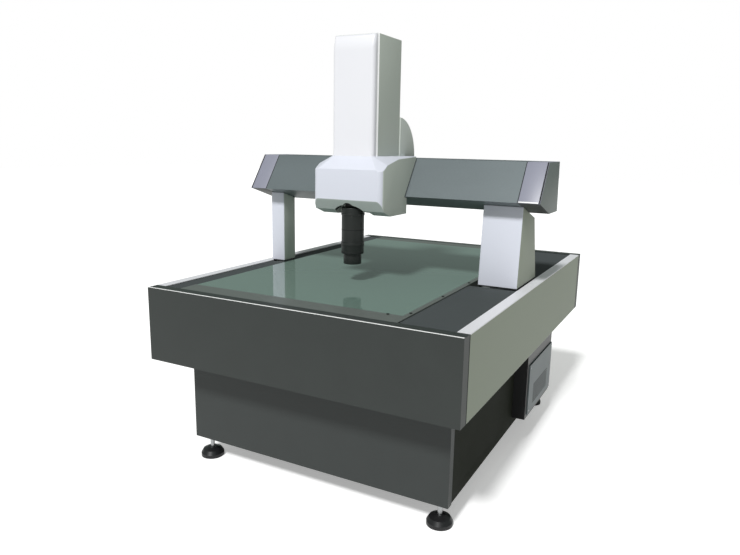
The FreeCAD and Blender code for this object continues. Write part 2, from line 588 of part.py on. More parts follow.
carriageFrame = fuse("carriage_frame", shelf, backPlate, xNut, zFoot)
named(cut("carriage_bracket", carriageFrame, xNutBore, zFootBore), "carriage_bracket")
xBlocks = []
for x in ("headX - xBlockSpread", "headX + xBlockSpread"):
    for y in railY:
        number = len(xBlocks)
        along = (f"{x} - xBlockLength / 2", f"{x} + xBlockLength / 2")
        block = box(f"x_block_body{number}", along, (f"{y} - xBlockWidth / 2", f"{y} + xBlockWidth / 2"),
                    ("coreTop + xBlockLift", "plateBottom"))
        slotHalf = "xRailWidth / 2 + runnerGap"
        slot = box(f"x_block_slot{number}", along, (f"{y} - ({slotHalf})", f"{y} + {slotHalf}"),
                   ("coreTop + xBlockLift", "coreTop + xRailHeight + runnerGap"))
        xBlocks.append(cut(f"x_block{number}", block, slot))
named(group("x_runner_blocks", xBlocks), "x_runner_blocks")


def cover_shape(name, inset):
    """The soft-cornered body of the carriage cover, or its hollow when inset by the wall."""
    gap = f"(coverGap + {inset})"
    outline = [(f"{inset} - coverFront", f"coverBelly + {inset}"),
               (f"0 - coverHeel - {inset}", f"coverBelly + {inset}"),
               (f"0 - beamNose - {gap}", "beamNoseHeight"),
               (f"0 - beamTopFront - {gap}", f"coverCrest - {inset}"),
               (f"{inset} - coverFront", f"coverShoulder - {inset}")]
    body = prism(name, "x", outline, f"headX - coverHalf + {inset}", f"headX + coverHalf - {inset}")
    return rounded(body, in_front, f"coverRound - {inset}")


towerX = ("headX - towerHalf", "headX + towerHalf")
arch = box("cover_arch", ("headX - archHalf", "headX + archHalf"), ("0 - archFront", "0 - archRear"),
           ("coverBelly - archDrop", "coverBelly + archRise"))
towerHole = box("cover_tower_hole", towerX, ("0 - towerFront", "cutMargin - beamTopFront"),
                ("towerBottom", "coverCrest + cutMargin"))
named(cut("carriage_cover", cover_shape("cover_outer", "0"), cover_shape("cover_hollow", "coverWall"),
          arch, towerHole), "carriage_cover")
towerBlock = prism("tower_block", "z", [
    (towerX[0], "0 - towerFront"), (towerX[1], "0 - towerFront"),
    (towerX[1], "0 - towerRear"), (towerX[0], "0 - towerRear")], "towerBottom", "towerTop")
rounded(towerBlock, front_upright, "towerRound")
wallX = (f"{towerX[0]} + towerWall", f"{towerX[1]} - towerWall")
towerHollow = prism("tower_hollow", "z", [
    (wallX[0], "towerWall - towerFront"), (wallX[1], "towerWall - towerFront"),
    (wallX[1], "0 - towerRear - towerWall"), (wallX[0], "0 - towerRear - towerWall")],
    "towerBottom", "towerTop - towerWall")
rounded(towerHollow, front_upright, "towerRound - towerWall")
towerGate = box("tower_gate", ("headX - plateHalf - gateGap", "headX + plateHalf + gateGap"),
                ("0 - towerRear - towerWall", "0 - towerRear"), ("towerBottom", "bulgeBottom + gateRise"))
named(cut("tower_cover", towerBlock, towerHollow, towerGate), "tower_cover")
bulgeX = (f"{towerX[0]} - bulgeSide", f"{towerX[1]} + bulgeSide")


def bulge_shape(name, inset):
    """The rounded hood behind the tower, or its hollow when inset by the wall."""
    rear = f"(0 - bulgeRear - {inset})"
    top = f"(bulgeTop - {inset})"
    outline = [("0 - towerRear", "bulgeBottom"), (rear, "bulgeBottom"), (rear, top), ("0 - towerRear", top)]
    body = prism(name, "x", outline, f"{bulgeX[0]} + {inset}", f"{bulgeX[1]} - {inset}")
    return rounded(body, top_rear, f"bulgeRound - {inset}")


named(cut("tower_rear_cover", bulge_shape("bulge_outer", "0"), bulge_shape("bulge_hollow", "towerWall")),
      "tower_rear_cover")

# ---------------------------------------------------------------- Z rails, screw and motor
zRails = []
for number, side in enumerate("-+"):
    middle = f"headX {side} zRailSpread"
    zRails.append(box(f"z_rail{number}", (f"{middle} - zRailWidth / 2", f"{middle} + zRailWidth / 2"),
                      ("backFace - zRailDepth", "backFace"), ("backPlateBottom", "zRailTop")))
named(group("z_guide_rails", zRails), "z_guide_rails")
named(rod("z_ball_screw", "z", "zScrewRadius", "backPlateBottom", "zRailTop + screwTail",
          ("headX", "0 - zScrewMiddle")), "z_ball_screw")
named(box("z_drive_motor", ("headX - zMotorSize / 2", "headX + zMotorSize / 2"),
          ("backFace - zMotorSize", "backFace"),
          ("zRailTop + screwTail", "zRailTop + screwTail + zMotorLength")), "z_drive_motor")

# ---------------------------------------------------------------- vertical slide and optics
slideY = ("0 - slideRear - slideThick", "0 - slideRear")
slidePlate = box("slide_plate_block", ("headX - slideHalf", "headX + slideHalf"), slideY,
                 ("slideBottom", "slideTop"))
zNut = box("z_nut_block", ("headX - zNutHalf", "headX + zNutHalf"), ("0 - slideRear", "backFace - zNutGap"),
           ("zNutBottom", "zNutBottom + zNutHeight"))
runners, runnerSlots = [], []
for side in "-+":
    middle = f"headX {side} zRailSpread"
    slotHalf = "zRailWidth / 2 + runnerGap"
    for low in ("backPlateBottom + zBlockRise", "slideTop - zBlockLength"):
        number = len(runners)
        upward = (low, f"{low} + zBlockLength")
        runners.append(box(f"z_block{number}", (f"{middle} - zBlockHalf", f"{middle} + zBlockHalf"),
                           ("0 - slideRear", "backFace - zBlockGap"), upward))
        runnerSlots.append(box(f"z_block_slot{number}",
                               (f"{middle} - ({slotHalf})", f"{middle} + {slotHalf}"),
                               ("backFace - zRailDepth - runnerGap", "backFace - zBlockGap"), upward))
zNutBore = rod("z_nut_bore", "z", "zScrewRadius + boreGap", "slideBottom", "slideTop",
               ("headX", "0 - zScrewMiddle"))
slideFrame = fuse("slide_frame", slidePlate, zNut, *runners)
named(cut("slide_plate", slideFrame, *runnerSlots, zNutBore), "slide_plate")
tubeY = "0 - lensMiddle"
clampBlock = box("clamp_block", ("headX - clampHalf", "headX + clampHalf"), (tubeY, slideY[0]),
                 ("slideBottom", "lensTop"))
clampBore = rod("clamp_bore", "z", "lensRadius", "slideBottom", "lensTop", ("headX", tubeY))
named(cut("lens_clamp", clampBlock, clampBore), "lens_clamp")
named(rod("lens_tube", "z", "lensRadius", "lensTip + tipLength", "lensTop", ("headX", tubeY)), "lens_tube")
named(rod("lens_tip", "z", "tipRadius", "lensTip", "lensTip + tipLength", ("headX", tubeY)), "lens_tip")
named(box("camera_housing", ("headX - cameraHalf", "headX + cameraHalf"),
          ("cameraGap - towerFront", slideY[0]),
          ("lensTop", "cameraTop")), "camera_housing")

# ---------------------------------------------------------------- backlight under the glass
lightY = ("0 - lensMiddle - lightHalf", "lightHalf - lensMiddle")
arm = box("backlight_arm", ("headX - armHalf", "headX + armHalf"), (lightY[0], "0 - armRear"),
          ("crossTop", "crossTop + armThick"))
lamp = box("backlight_lamp", ("headX - lightHalf", "headX + lightHalf"), lightY,
           ("crossTop + armThick", "lightTop"))
named(fuse("backlight_housing", arm, lamp), "backlight_housing")
named(box("backlight_diffuser", ("headX - lightHalf + diffuserInset", "headX + lightHalf - diffuserInset"),
          (f"{lightY[0]} + diffuserInset", f"{lightY[1]} - diffuserInset"),
          ("lightTop", "lightTop + diffuserThick")),
      "backlight_diffuser")

# ---------------------------------------------------------------- check and write
doc.recompute()
failed = [item.Label for item in doc.Objects if "Invalid" in item.State or "Error" in item.State]
assert not failed, f"failed objects: {failed}"
os.makedirs("parts", exist_ok=True)
for node in nodes:
    assert not node.Shape.isNull() and node.Shape.isValid(), f"bad shape: {node.Label}"
    node.Shape.exportStep(f"parts/{node.Label}.step")
print(len(nodes), "sub-parts written")
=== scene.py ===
import json
import math
import bpy
from mathutils import Matrix, Vector


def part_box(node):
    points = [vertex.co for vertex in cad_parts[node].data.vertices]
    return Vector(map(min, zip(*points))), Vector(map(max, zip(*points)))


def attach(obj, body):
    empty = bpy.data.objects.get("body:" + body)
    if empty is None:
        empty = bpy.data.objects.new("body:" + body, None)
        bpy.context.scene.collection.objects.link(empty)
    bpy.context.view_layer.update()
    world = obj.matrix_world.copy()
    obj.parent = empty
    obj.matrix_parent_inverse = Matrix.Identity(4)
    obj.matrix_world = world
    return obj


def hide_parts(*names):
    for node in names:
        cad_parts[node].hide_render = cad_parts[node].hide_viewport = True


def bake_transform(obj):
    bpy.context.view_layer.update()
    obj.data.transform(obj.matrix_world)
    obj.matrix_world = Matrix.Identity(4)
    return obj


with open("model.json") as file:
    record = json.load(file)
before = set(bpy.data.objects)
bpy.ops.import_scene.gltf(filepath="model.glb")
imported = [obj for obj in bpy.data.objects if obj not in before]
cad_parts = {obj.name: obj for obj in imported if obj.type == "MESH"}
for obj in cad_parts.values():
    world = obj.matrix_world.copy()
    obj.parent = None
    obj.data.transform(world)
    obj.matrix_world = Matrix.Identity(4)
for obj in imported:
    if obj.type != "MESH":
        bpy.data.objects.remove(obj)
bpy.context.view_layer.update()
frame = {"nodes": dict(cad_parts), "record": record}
nodes = frame["nodes"]
print("frame loaded")


def clearSelection():
    if bpy.context.mode != "OBJECT":
        bpy.ops.object.mode_set(mode="OBJECT")
    bpy.ops.object.select_all(action="DESELECT")


def only(piece):
    clearSelection()
    piece.select_set(True)
    bpy.context.view_layer.objects.active = piece


def settle(piece):
    only(piece)
    bpy.ops.object.transform_apply(location=True, rotation=True, scale=True)
    return piece


def corners(node):
    # the lowest and the highest corner of a solid's box
    return [Vector(corner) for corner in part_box(node)]


def block(name, low, high):
    clearSelection()
    low, high = Vector(low), Vector(high)
    bpy.ops.mesh.primitive_cube_add(size=1, location=(low + high) / 2)
    piece = bpy.context.object
    piece.name = piece.data.name = name
    piece.scale = high - low
    return settle(piece)


def rod(name, radius, low, high, centre, vertices=64, axis="z"):
    clearSelection()
    turns = {"x": (0, math.pi / 2, 0), "y": (math.pi / 2, 0, 0), "z": (0, 0, 0)}
    spots = {"x": ((low + high) / 2, *centre), "y": (centre[0], (low + high) / 2, centre[1]),
             "z": (*centre, (low + high) / 2)}
    bpy.ops.mesh.primitive_cylinder_add(vertices=vertices, radius=radius, depth=high - low,
                                        location=spots[axis], rotation=turns[axis])
    piece = bpy.context.object
    piece.name = piece.data.name = name
    return settle(piece)


def trim(piece, *points, keep=None):
    # keeps the side of the plane through three points that holds keep, or else the piece's middle
    a, b, c = (Vector(point) for point in points)
    normal = (b - a).cross(c - a).normalized()
    spots = [vertex.co for vertex in piece.data.vertices]
    inside = Vector(keep) if keep else sum(spots, Vector()) / len(spots)
    if normal.dot(inside - a) > 0:
        normal.negate()
    only(piece)
    bpy.ops.object.mode_set(mode="EDIT")
    bpy.ops.mesh.select_all(action="SELECT")
    bpy.ops.mesh.bisect(plane_co=a, plane_no=normal, use_fill=True, clear_outer=True)
    bpy.ops.object.mode_set(mode="OBJECT")
    return piece


def trimAlong(piece, first, second, keep=None):
    # a plane that runs along X through two points given in Y and Z
    return trim(piece, (0, *first), (1, *first), (0, *second), keep=keep)


def apply(piece, kind, **values):
    only(piece)
    modifier = piece.modifiers.new(kind.title(), kind)
    for key, value in values.items():
        setattr(modifier, key, value)
    bpy.ops.object.modifier_apply(modifier=modifier.name)
    return piece


def soften(piece, width, segments=4, angle=25):
    apply(piece, "BEVEL", width=width, segments=segments, limit_method="ANGLE",
          angle_limit=math.radians(angle), harden_normals=False)
    only(piece)
    bpy.ops.object.shade_smooth_by_angle(angle=math.radians(40))
    return piece


def roundEdges(piece, pick, width, segments=8):
    only(piece)
    bpy.ops.object.mode_set(mode="EDIT")
    bpy.ops.mesh.select_all(action="DESELECT")
    bpy.ops.mesh.select_mode(type="EDGE")
    bpy.ops.object.mode_set(mode="OBJECT")
    points = piece.data.vertices
    for edge in piece.data.edges:
        edge.select = pick(points[edge.vertices[0]].co, points[edge.vertices[1]].co)
    bpy.ops.object.mode_set(mode="EDIT")
    bpy.ops.mesh.bevel(offset=width, segments=segments, profile=0.5, affect="EDGES")
    bpy.ops.object.mode_set(mode="OBJECT")
    return piece


def carve(piece, tool):
    apply(piece, "BOOLEAN", operation="DIFFERENCE", object=tool, solver="MANIFOLD")
    bpy.data.objects.remove(tool)
    return piece


def join(name, pieces):
    clearSelection()
    for piece in pieces:
        piece.select_set(True)
    bpy.context.view_layer.objects.active = pieces[0]
    bpy.ops.object.join()
    joined = bpy.context.object
    joined.name = joined.data.name = name
    return joined


# effects that several finishes share
def newGroup(name, inputs, outputs):
    group = bpy.data.node_groups.new(name, "ShaderNodeTree")
    for label, kind, default in inputs:
        socket = group.interface.new_socket(label, in_out="INPUT", socket_type=kind)
        socket.default_value = default
    for label, kind in outputs:
        group.interface.new_socket(label, in_out="OUTPUT", socket_type=kind)
    return group, group.nodes.new("NodeGroupInput"), group.nodes.new("NodeGroupOutput")


def buildPaintGrain():
    group, inside, outside = newGroup("paintGrain", [
        ("Color", "NodeSocketColor", (0.5, 0.5, 0.5, 1)), ("Mottle", "NodeSocketFloat", 0.1),
        ("Roughness", "NodeSocketFloat", 0.45), ("Scale", "NodeSocketFloat", 300.0),
        ("Depth", "NodeSocketFloat", 0.1), ("Stretch", "NodeSocketVector", (1, 1, 1))],
        [("Color", "NodeSocketColor"), ("Roughness", "NodeSocketFloat"), ("Normal", "NodeSocketVector")])
    nodesIn, link = group.nodes, group.links.new
    spots = nodesIn.new("ShaderNodeTexCoord")
    drawn = nodesIn.new("ShaderNodeVectorMath")
    drawn.operation = "MULTIPLY"
    link(spots.outputs["Object"], drawn.inputs[0])
    link(inside.outputs["Stretch"], drawn.inputs[1])
    cloud = nodesIn.new("ShaderNodeTexNoise")
    cloud.inputs["Scale"].default_value = 7
    cloud.inputs["Detail"].default_value = 6
    link(drawn.outputs[0], cloud.inputs["Vector"])
    grain = nodesIn.new("ShaderNodeTexNoise")
    grain.inputs["Detail"].default_value = 3
    link(drawn.outputs[0], grain.inputs["Vector"])
    link(inside.outputs["Scale"], grain.inputs["Scale"])
    both = nodesIn.new("ShaderNodeMath")
    both.operation = "ADD"
    link(cloud.outputs["Fac"], both.inputs[0])
    link(grain.outputs["Fac"], both.inputs[1])
    centred = nodesIn.new("ShaderNodeMath")
    centred.operation = "SUBTRACT"
    centred.inputs[1].default_value = 1.0
    link(both.outputs[0], centred.inputs[0])
    amount = nodesIn.new("ShaderNodeMath")
    amount.operation = "MULTIPLY_ADD"
    amount.inputs[2].default_value = 1.0
    link(centred.outputs[0], amount.inputs[0])
    link(inside.outputs["Mottle"], amount.inputs[1])
    tint = nodesIn.new("ShaderNodeVectorMath")
    tint.operation = "SCALE"
    link(inside.outputs["Color"], tint.inputs[0])
    link(amount.outputs[0], tint.inputs["Scale"])
    link(tint.outputs[0], outside.inputs["Color"])
    rough = nodesIn.new("ShaderNodeMath")
    rough.operation = "MULTIPLY"
    link(inside.outputs["Roughness"], rough.inputs[0])
    link(amount.outputs[0], rough.inputs[1])
    link(rough.outputs[0], outside.inputs["Roughness"])
    bump = nodesIn.new("ShaderNodeBump")
    bump.inputs["Distance"].default_value = 0.0004
    link(grain.outputs["Fac"], bump.inputs["Height"])
    link(inside.outputs["Depth"], bump.inputs["Strength"])
    link(bump.outputs[0], outside.inputs["Normal"])
    return group


paintGrain = buildPaintGrain()


def finish(name, color, roughness=0.45, mottle=0.06, scale=350, depth=0.1, stretch=(1, 1, 1), metallic=0,
           **plain):
    material = bpy.data.materials.new(name)
    material.use_nodes = True
    tree = material.node_tree
    shader = tree.nodes["Principled BSDF"]
    effect = tree.nodes.new("ShaderNodeGroup")
    effect.node_tree = paintGrain
    values = {"Color": (*color, 1), "Mottle": mottle, "Roughness": roughness, "Scale": scale,
              "Depth": depth, "Stretch": stretch}
    for key, value in values.items():
        effect.inputs[key].default_value = value
    tree.links.new(effect.outputs["Color"], shader.inputs["Base Color"])
    tree.links.new(effect.outputs["Roughness"], shader.inputs["Roughness"])
    tree.links.new(effect.outputs["Normal"], shader.inputs["Normal"])
    shader.inputs["Metallic"].default_value = metallic
    for key, value in plain.items():
        shader.inputs[key].default_value = value
    return material


finishes = {
    "whitePaint": finish("whitePaint", (0.78, 0.78, 0.82), 0.38, 0.03, 420, 0.06),
    # coolShadedWhite is a darker, bluer copy of the white paint for the carriage and columns; its darkness
    # is painted shade
    "coolShadedWhite": finish("coolShadedWhite", (0.66, 0.68, 0.76), 0.38, 0.03, 420, 0.06),
    # sidePaintAndShade is the tower side panels' own grey-green paint, and painted shade on the sideways
    # faces of the carriage and the left column
    "sidePaintAndShade": finish("sidePaintAndShade", (0.55, 0.60, 0.54), 0.5, 0.05, 380, 0.12),
    # panelShade is painted shade for the white side panels' outer faces
    "panelShade": finish("panelShade", (0.25, 0.285, 0.215), 0.5, 0.06, 380, 0.12),
    # columnShade is painted shade for the right column's sideways faces
    "columnShade": finish("columnShade", (0.29, 0.325, 0.255), 0.5, 0.05, 380, 0.12),
    "hoodPaint": finish("hoodPaint", (0.68, 0.73, 0.68), 0.5, 0.05, 380, 0.12),
    # bellyShade is painted shade for the carriage's downward belly faces
    "bellyShade": finish("bellyShade", (0.40, 0.45, 0.43), 0.5, 0.05, 380, 0.12),
    "beamGrey": finish("beamGrey", (0.135, 0.16, 0.168), 0.42, 0.2, 420, 0.25, (0.25, 1, 1), 0.25),
    "capGrey": finish("capGrey", (0.245, 0.25, 0.31), 0.4, 0.06, 400, 0.1),
    # capEndShade is painted shade for the end faces of the beam caps
    "capEndShade": finish("capEndShade", (0.14, 0.165, 0.155), 0.45, 0.08, 400, 0.1),
    "coverDark": finish("coverDark", (0.029, 0.034, 0.032), 0.45, 0.3, 260, 0.3, (1, 1, 1), 0.1),
    "cabinetDark": finish("cabinetDark", (0.035, 0.040, 0.039), 0.5, 0.25, 260, 0.3, (1, 1, 1), 0.1),
    "cabinetSide": finish("cabinetSide", (0.016, 0.018, 0.012), 0.8, 0.25, 260, 0.3,
                          **{"Specular IOR Level": 0.15}),
    "blackPlastic": finish("blackPlastic", (0.012, 0.012, 0.013), 0.35, 0.1, 500, 0.15),
    "blackAnodised": finish("blackAnodised", (0.010, 0.012, 0.011), 0.4, 0.12, 600, 0.1, (1, 1, 8)),
    # gapAndShadeBlack is the near-black of real grooves, joints and vents, and painted shade in the arch
    # rooms, the bellows slots and under the column feet
    "gapAndShadeBlack": finish("gapAndShadeBlack", (0.006, 0.007, 0.007), 0.8, 0.1),
    "groundSteel": finish("groundSteel", (0.55, 0.56, 0.57), 0.28, 0.1, 500, 0.15, (8, 0.4, 8), 1),
    # brightTrim is the bright trim of the table edges and the bright edge of the beam caps, and a painted
    # highlight on the tower's chamfer
    "brightTrim": finish("brightTrim", (0.86, 0.86, 0.86), 0.4, 0.04, 500, 0.08),
    "stageFrame": finish("stageFrame", (0.14, 0.155, 0.145), 0.4, 0.1, 500, 0.12, (8, 0.4, 8), 0.2),
    "castAlloy": finish("castAlloy", (0.42, 0.43, 0.44), 0.5, 0.1, 260, 0.3, (1, 1, 1), 0.8),
    "framePaint": finish("framePaint", (0.04, 0.042, 0.045), 0.6, 0.1, 300, 0.3),
    "granite": finish("granite", (0.035, 0.035, 0.038), 0.3, 0.5, 240, 0.03),
    "bellowsCloth": finish("bellowsCloth", (0.046, 0.054, 0.056), 0.75, 0.12, 900, 0.5),
    "lampWhite": finish("lampWhite", (0.85, 0.87, 0.9), 0.6, 0.02),
}


def buildGlass(name, color, transmission, roughness=0.02):
    material = finish(name, color, roughness, 0.02, 20, 0.0)
    shader = material.node_tree.nodes["Principled BSDF"]
    shader.inputs["Transmission Weight"].default_value = transmission
    shader.inputs["IOR"].default_value = 1.47
    return material


# the stage glass is opaque; its light grey-green colour is partly painted reflection and partly the glass's
# own green tint
finishes["stageGlass"] = buildGlass("stageGlass", (0.14, 0.21, 0.18), 0.0)
finishes["lensGlass"] = buildGlass("lensGlass", (0.02, 0.03, 0.05), 0.3)
slotFinish = {
    "skirt_white": "whitePaint", "cover_white": "whitePaint", "cover_grey": "beamGrey",
    "cover_dark": "coverDark", "beam_light": "capGrey", "frame_paint": "framePaint",
    "granite": "granite", "steel": "groundSteel", "screw_steel": "groundSteel",
    "aluminium": "castAlloy", "black_metal": "blackAnodised", "black_plastic": "blackPlastic",
    "bellows_cloth": "bellowsCloth", "stage_glass": "stageGlass", "lamp_white": "lampWhite",
    "motor_black": "blackPlastic",
}
nodeFinish = {"cabinet_front": "cabinetDark", "cabinet_rear": "cabinetDark", "cabinet_left": "cabinetSide",
              "cabinet_right": "cabinetSide", "stage_beam_right": "stageFrame",
              "stage_beam_left": "stageFrame", "stage_end_plates": "stageFrame",
              "tower_rear_cover": "sidePaintAndShade"}
for entry in frame["record"]["subparts"]:
    piece = nodes[entry["node"]]
    piece.data.materials.clear()
    piece.data.materials.append(finishes[nodeFinish.get(entry["node"], slotFinish[entry["material_slot"]])])
print("finishes ready")


def place(piece, body, finishName, slot, *replaced):
    piece.data.materials.clear()
    piece.data.materials.append(finishes[finishName])
    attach(piece, body)
    if replaced:
        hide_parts(*replaced)
    return piece


# tower: white front with a soft crown, and grey-green two-tone side panels whose chamfer is painted bright
# white, partly as a painted highlight
towerValues = {"foot": 1.400, "inset": 0.006, "corner": 0.018, "crownTall": 0.050, "crownDeep": 0.014,
               "seam": 0.026, "overlap": 0.020, "chamfer": 0.010, "wall": 0.006, "skirt": 0.018}


def buildTower(v):
    low, high = corners("tower_cover")
    seam = low.y + v["seam"]
    front = block("towerFront", (low.x + v["inset"], low.y, v["foot"]),
                  (high.x - v["inset"], seam + v["overlap"], high.z))
    trimAlong(front, (low.y, high.z - v["crownTall"]), (low.y + v["crownDeep"], high.z))
    crown = low.y + v["crownDeep"] + 0.001
    roundEdges(front, lambda a, b: max(a.y, b.y) < crown and max(a.z, b.z) > v["foot"] + 0.001,
               v["corner"], 8)
    edge = v["inset"] + v["wall"]
    carve(front, block("frontRoom", (low.x + edge, low.y + v["wall"], v["foot"] - v["wall"]),
                       (high.x - edge, high.y, high.z - v["crownTall"] - v["wall"])))
    only(front)
    bpy.ops.object.shade_smooth_by_angle(angle=math.radians(35))
    place(front, "x_carriage", "whitePaint", "cover_white", "tower_cover")
    sides = block("towerSides", (low.x, seam, v["foot"]), high)
    roundEdges(sides, lambda a, b: max(a.y, b.y) < seam + 0.001 and abs(a.z - b.z) > 0.1, v["chamfer"], 1)
    inset = Vector((v["wall"], 0, v["wall"]))
    room = block("towerRoom", Vector((low.x, low.y, v["foot"] - v["skirt"])) + inset,
                 high - Vector((v["wall"],) * 3))
    carve(sides, room)
    place(soften(sides, 0.0012, 2, 50), "x_carriage", "sidePaintAndShade", "cover_white")
    # partly a painted highlight: the chamfer faces of the side panels are painted bright white
    sides.data.materials.append(finishes["brightTrim"])
    for face in sides.data.polygons:
        if abs(face.normal.x) > 0.5 and face.normal.y < -0.5:
            face.material_index = 1


buildTower(towerValues)
print("tower built")

# hood behind the tower: a quarter of an ellipse in side view
hoodValues = {"foot": 1.456, "inset": 0.006, "soft": 0.005}


def buildHood(v):
    low, high = corners("tower_rear_cover")
    hood = rod("hoodShell", 1, low.x + v["inset"], high.x - v["inset"], (0, 0), 128, "x")
    hood.data.transform(Matrix.Translation((0, low.y, v["foot"]))
                        @ Matrix.Diagonal((1, high.y - low.y, high.z - v["foot"], 1)))
    middle = (low + high) / 2
    trimAlong(hood, (low.y, v["foot"]), (low.y, high.z), keep=middle)
    trimAlong(hood, (low.y, v["foot"]), (high.y, v["foot"]), keep=middle)
    place(soften(hood, v["soft"], 4, 30), "x_carriage", "hoodPaint", "cover_white", "tower_rear_cover")


buildHood(hoodValues)
print("hood built")

# carriage cover: soft front, curved shoulders, painted shade on the belly and an arch round the lens
carriageValues = {
    "frontTop": 1.402, "frontFoot": 1.262, "chinY": 0.026, "chinZ": 1.215, "bellyY": 0.095,
    "shoulder": ((-0.500, 1.388), (-0.445, 1.424), (-0.330, 1.450), (-0.132, 1.460)), "shoulderRise": 0.034,
    "gap": 0.009, "noseZ": 1.272, "crestY": -0.124, "heelY": -0.232, "keelFall": 0.302,
    "corner": 0.028, "soft": 0.010, "archWide": 0.086, "archHigh": 0.050, "archRear": -0.300,
    "roomHalf": 0.095, "roomFront": -0.450, "roomRear": -0.050, "roomTop": 1.385, "lensRoom": 0.005,
    "beyond": 0.02, "step": 0.1, "heelDrop": 0.004, "near": 0.001, "uprightLeast": 0.03,
    "archStart": 0.004, "bellyOver": 0.003, "sideways": 0.93, "downwards": -0.12, "square": 0.01,
    "wedgeRise": 0.3,
}


def buildCarriage(v):
    low, high = corners("carriage_cover")
    tower = corners("tower_cover")
    lens = corners("lens_tube")
    beamLow, beamHigh = corners("beam_front_cover")
    middle = (low.x + high.x) / 2
    past = v["beyond"]
    shell = block("carriageShell", low, high)
    trimAlong(shell, (low.y, v["frontTop"]), (tower[0].y, high.z))
    trimAlong(shell, (low.y, v["frontFoot"]), (low.y + v["chinY"], v["chinZ"]))
    trimAlong(shell, (low.y + v["chinY"], v["chinZ"]), (low.y + v["bellyY"], low.z))
    for outer, inner in ((low.x, tower[0].x), (high.x, tower[1].x)):
        for first, second in zip(v["shoulder"], v["shoulder"][1:]):
            rise = ((first[0] + second[0]) / 2, (first[1] + second[1]) / 2 + v["shoulderRise"])
            trim(shell, (outer, *first), (outer, *second), (inner, *rise))
    near = v["near"]
    roundEdges(shell, lambda a, b: abs(a.z - b.z) > v["uprightLeast"] and abs(a.x - b.x) < near
               and max(a.y, b.y) < low.y + near, v["corner"], 8)
    soften(shell, v["soft"], 5, 12)
    noseY = beamLow.y - v["gap"]
    nose = (noseY, v["noseZ"])
    # the beam passes through a wedge, open at the rear, and the heel ends short of its underside
    tool = block("beamRoom", (low.x - past, noseY - past, low.z),
                 (high.x + past, -low.y, high.z + v["wedgeRise"]))
    back = (middle, 0, high.z)
    trimAlong(tool, nose, (v["crestY"] - v["gap"], beamHigh.z), keep=back)
    trimAlong(tool, nose, (noseY + v["step"], v["noseZ"] - v["step"] * v["keelFall"]), keep=back)
    carve(shell, tool)
    carve(shell, block("heelRoom", (low.x - past, v["heelY"], low.z - past),
                       (high.x + past, -low.y, v["noseZ"] - v["heelDrop"])))
    # an arch in front, and room for the slide and the lens tube to rise
    arch = rod("archTool", 1, low.y - past, v["archRear"], (0, 0), 64, "y")
    arch.data.transform(Matrix.Translation((middle, 0, low.z))
                        @ Matrix.Diagonal((v["archWide"], 1, v["archHigh"], 1)))
    carve(shell, arch)
    carve(shell, block("slideRoom", (middle - v["roomHalf"], v["roomFront"], low.z - past),
                       (middle + v["roomHalf"], v["roomRear"], high.z + past)))
    lensMiddle = (lens[0] + lens[1]) / 2
    lensRadius = (lens[1].x - lens[0].x) / 2 + v["lensRoom"]
    carve(shell, rod("tubeRoom", lensRadius, low.z - past, v["roomTop"] + near, lensMiddle.xy))
    only(shell)
    bpy.ops.object.shade_smooth_by_angle(angle=math.radians(32))
    place(shell, "x_carriage", "coolShadedWhite", "cover_white", "carriage_cover")
    for name in ("sidePaintAndShade", "bellyShade", "gapAndShadeBlack"):
        shell.data.materials.append(finishes[name])
    # painted shade: the rooms inside the arch are painted black, the downward belly faces darker grey and
    # the sideways faces grey-green
    for face in shell.data.polygons:
        spot, normal = face.center, face.normal
        inside = (abs(spot.x - middle) < v["archWide"]
                  and low.y + v["archStart"] < spot.y < v["archRear"] + near)
        flat = v["square"]
        straight = abs(normal.y) < flat or abs(normal.z) < flat or abs(normal.z) > 1 - flat
        if inside and straight and low.z + near < spot.z < v["roomTop"] + near:
            face.material_index = 3
        elif spot.z < v["frontFoot"] + v["bellyOver"] and normal.z < v["downwards"]:
            face.material_index = 2
        elif abs(normal.x) > v["sideways"]:
            face.material_index = 1


buildCarriage(carriageValues)
print("carriage built")

# lens: black tube with rings, stepped tip, ring of lamps round the front glass
# a ring is its height, its length and how far it stands out; a black groove line has 0 there
lensValues = {"rings": ((1.190, 0.010, 0.0025), (1.120, 0.004, 0),
                        (1.046, 0.018, 0.0020), (1.012, 0.006, 0)),
              "groove": 0.0006, "edge": 0.0025, "tipEdge": 0.003, "lift": 0.001, "hollow": 0.56,
              "hollowDeep": 0.016, "glass": 0.55, "glassLow": 0.008, "glassHigh": 0.013,
              "lamps": 24, "lampRadius": 0.0026, "lampCircle": 0.78, "lampTall": 0.004}


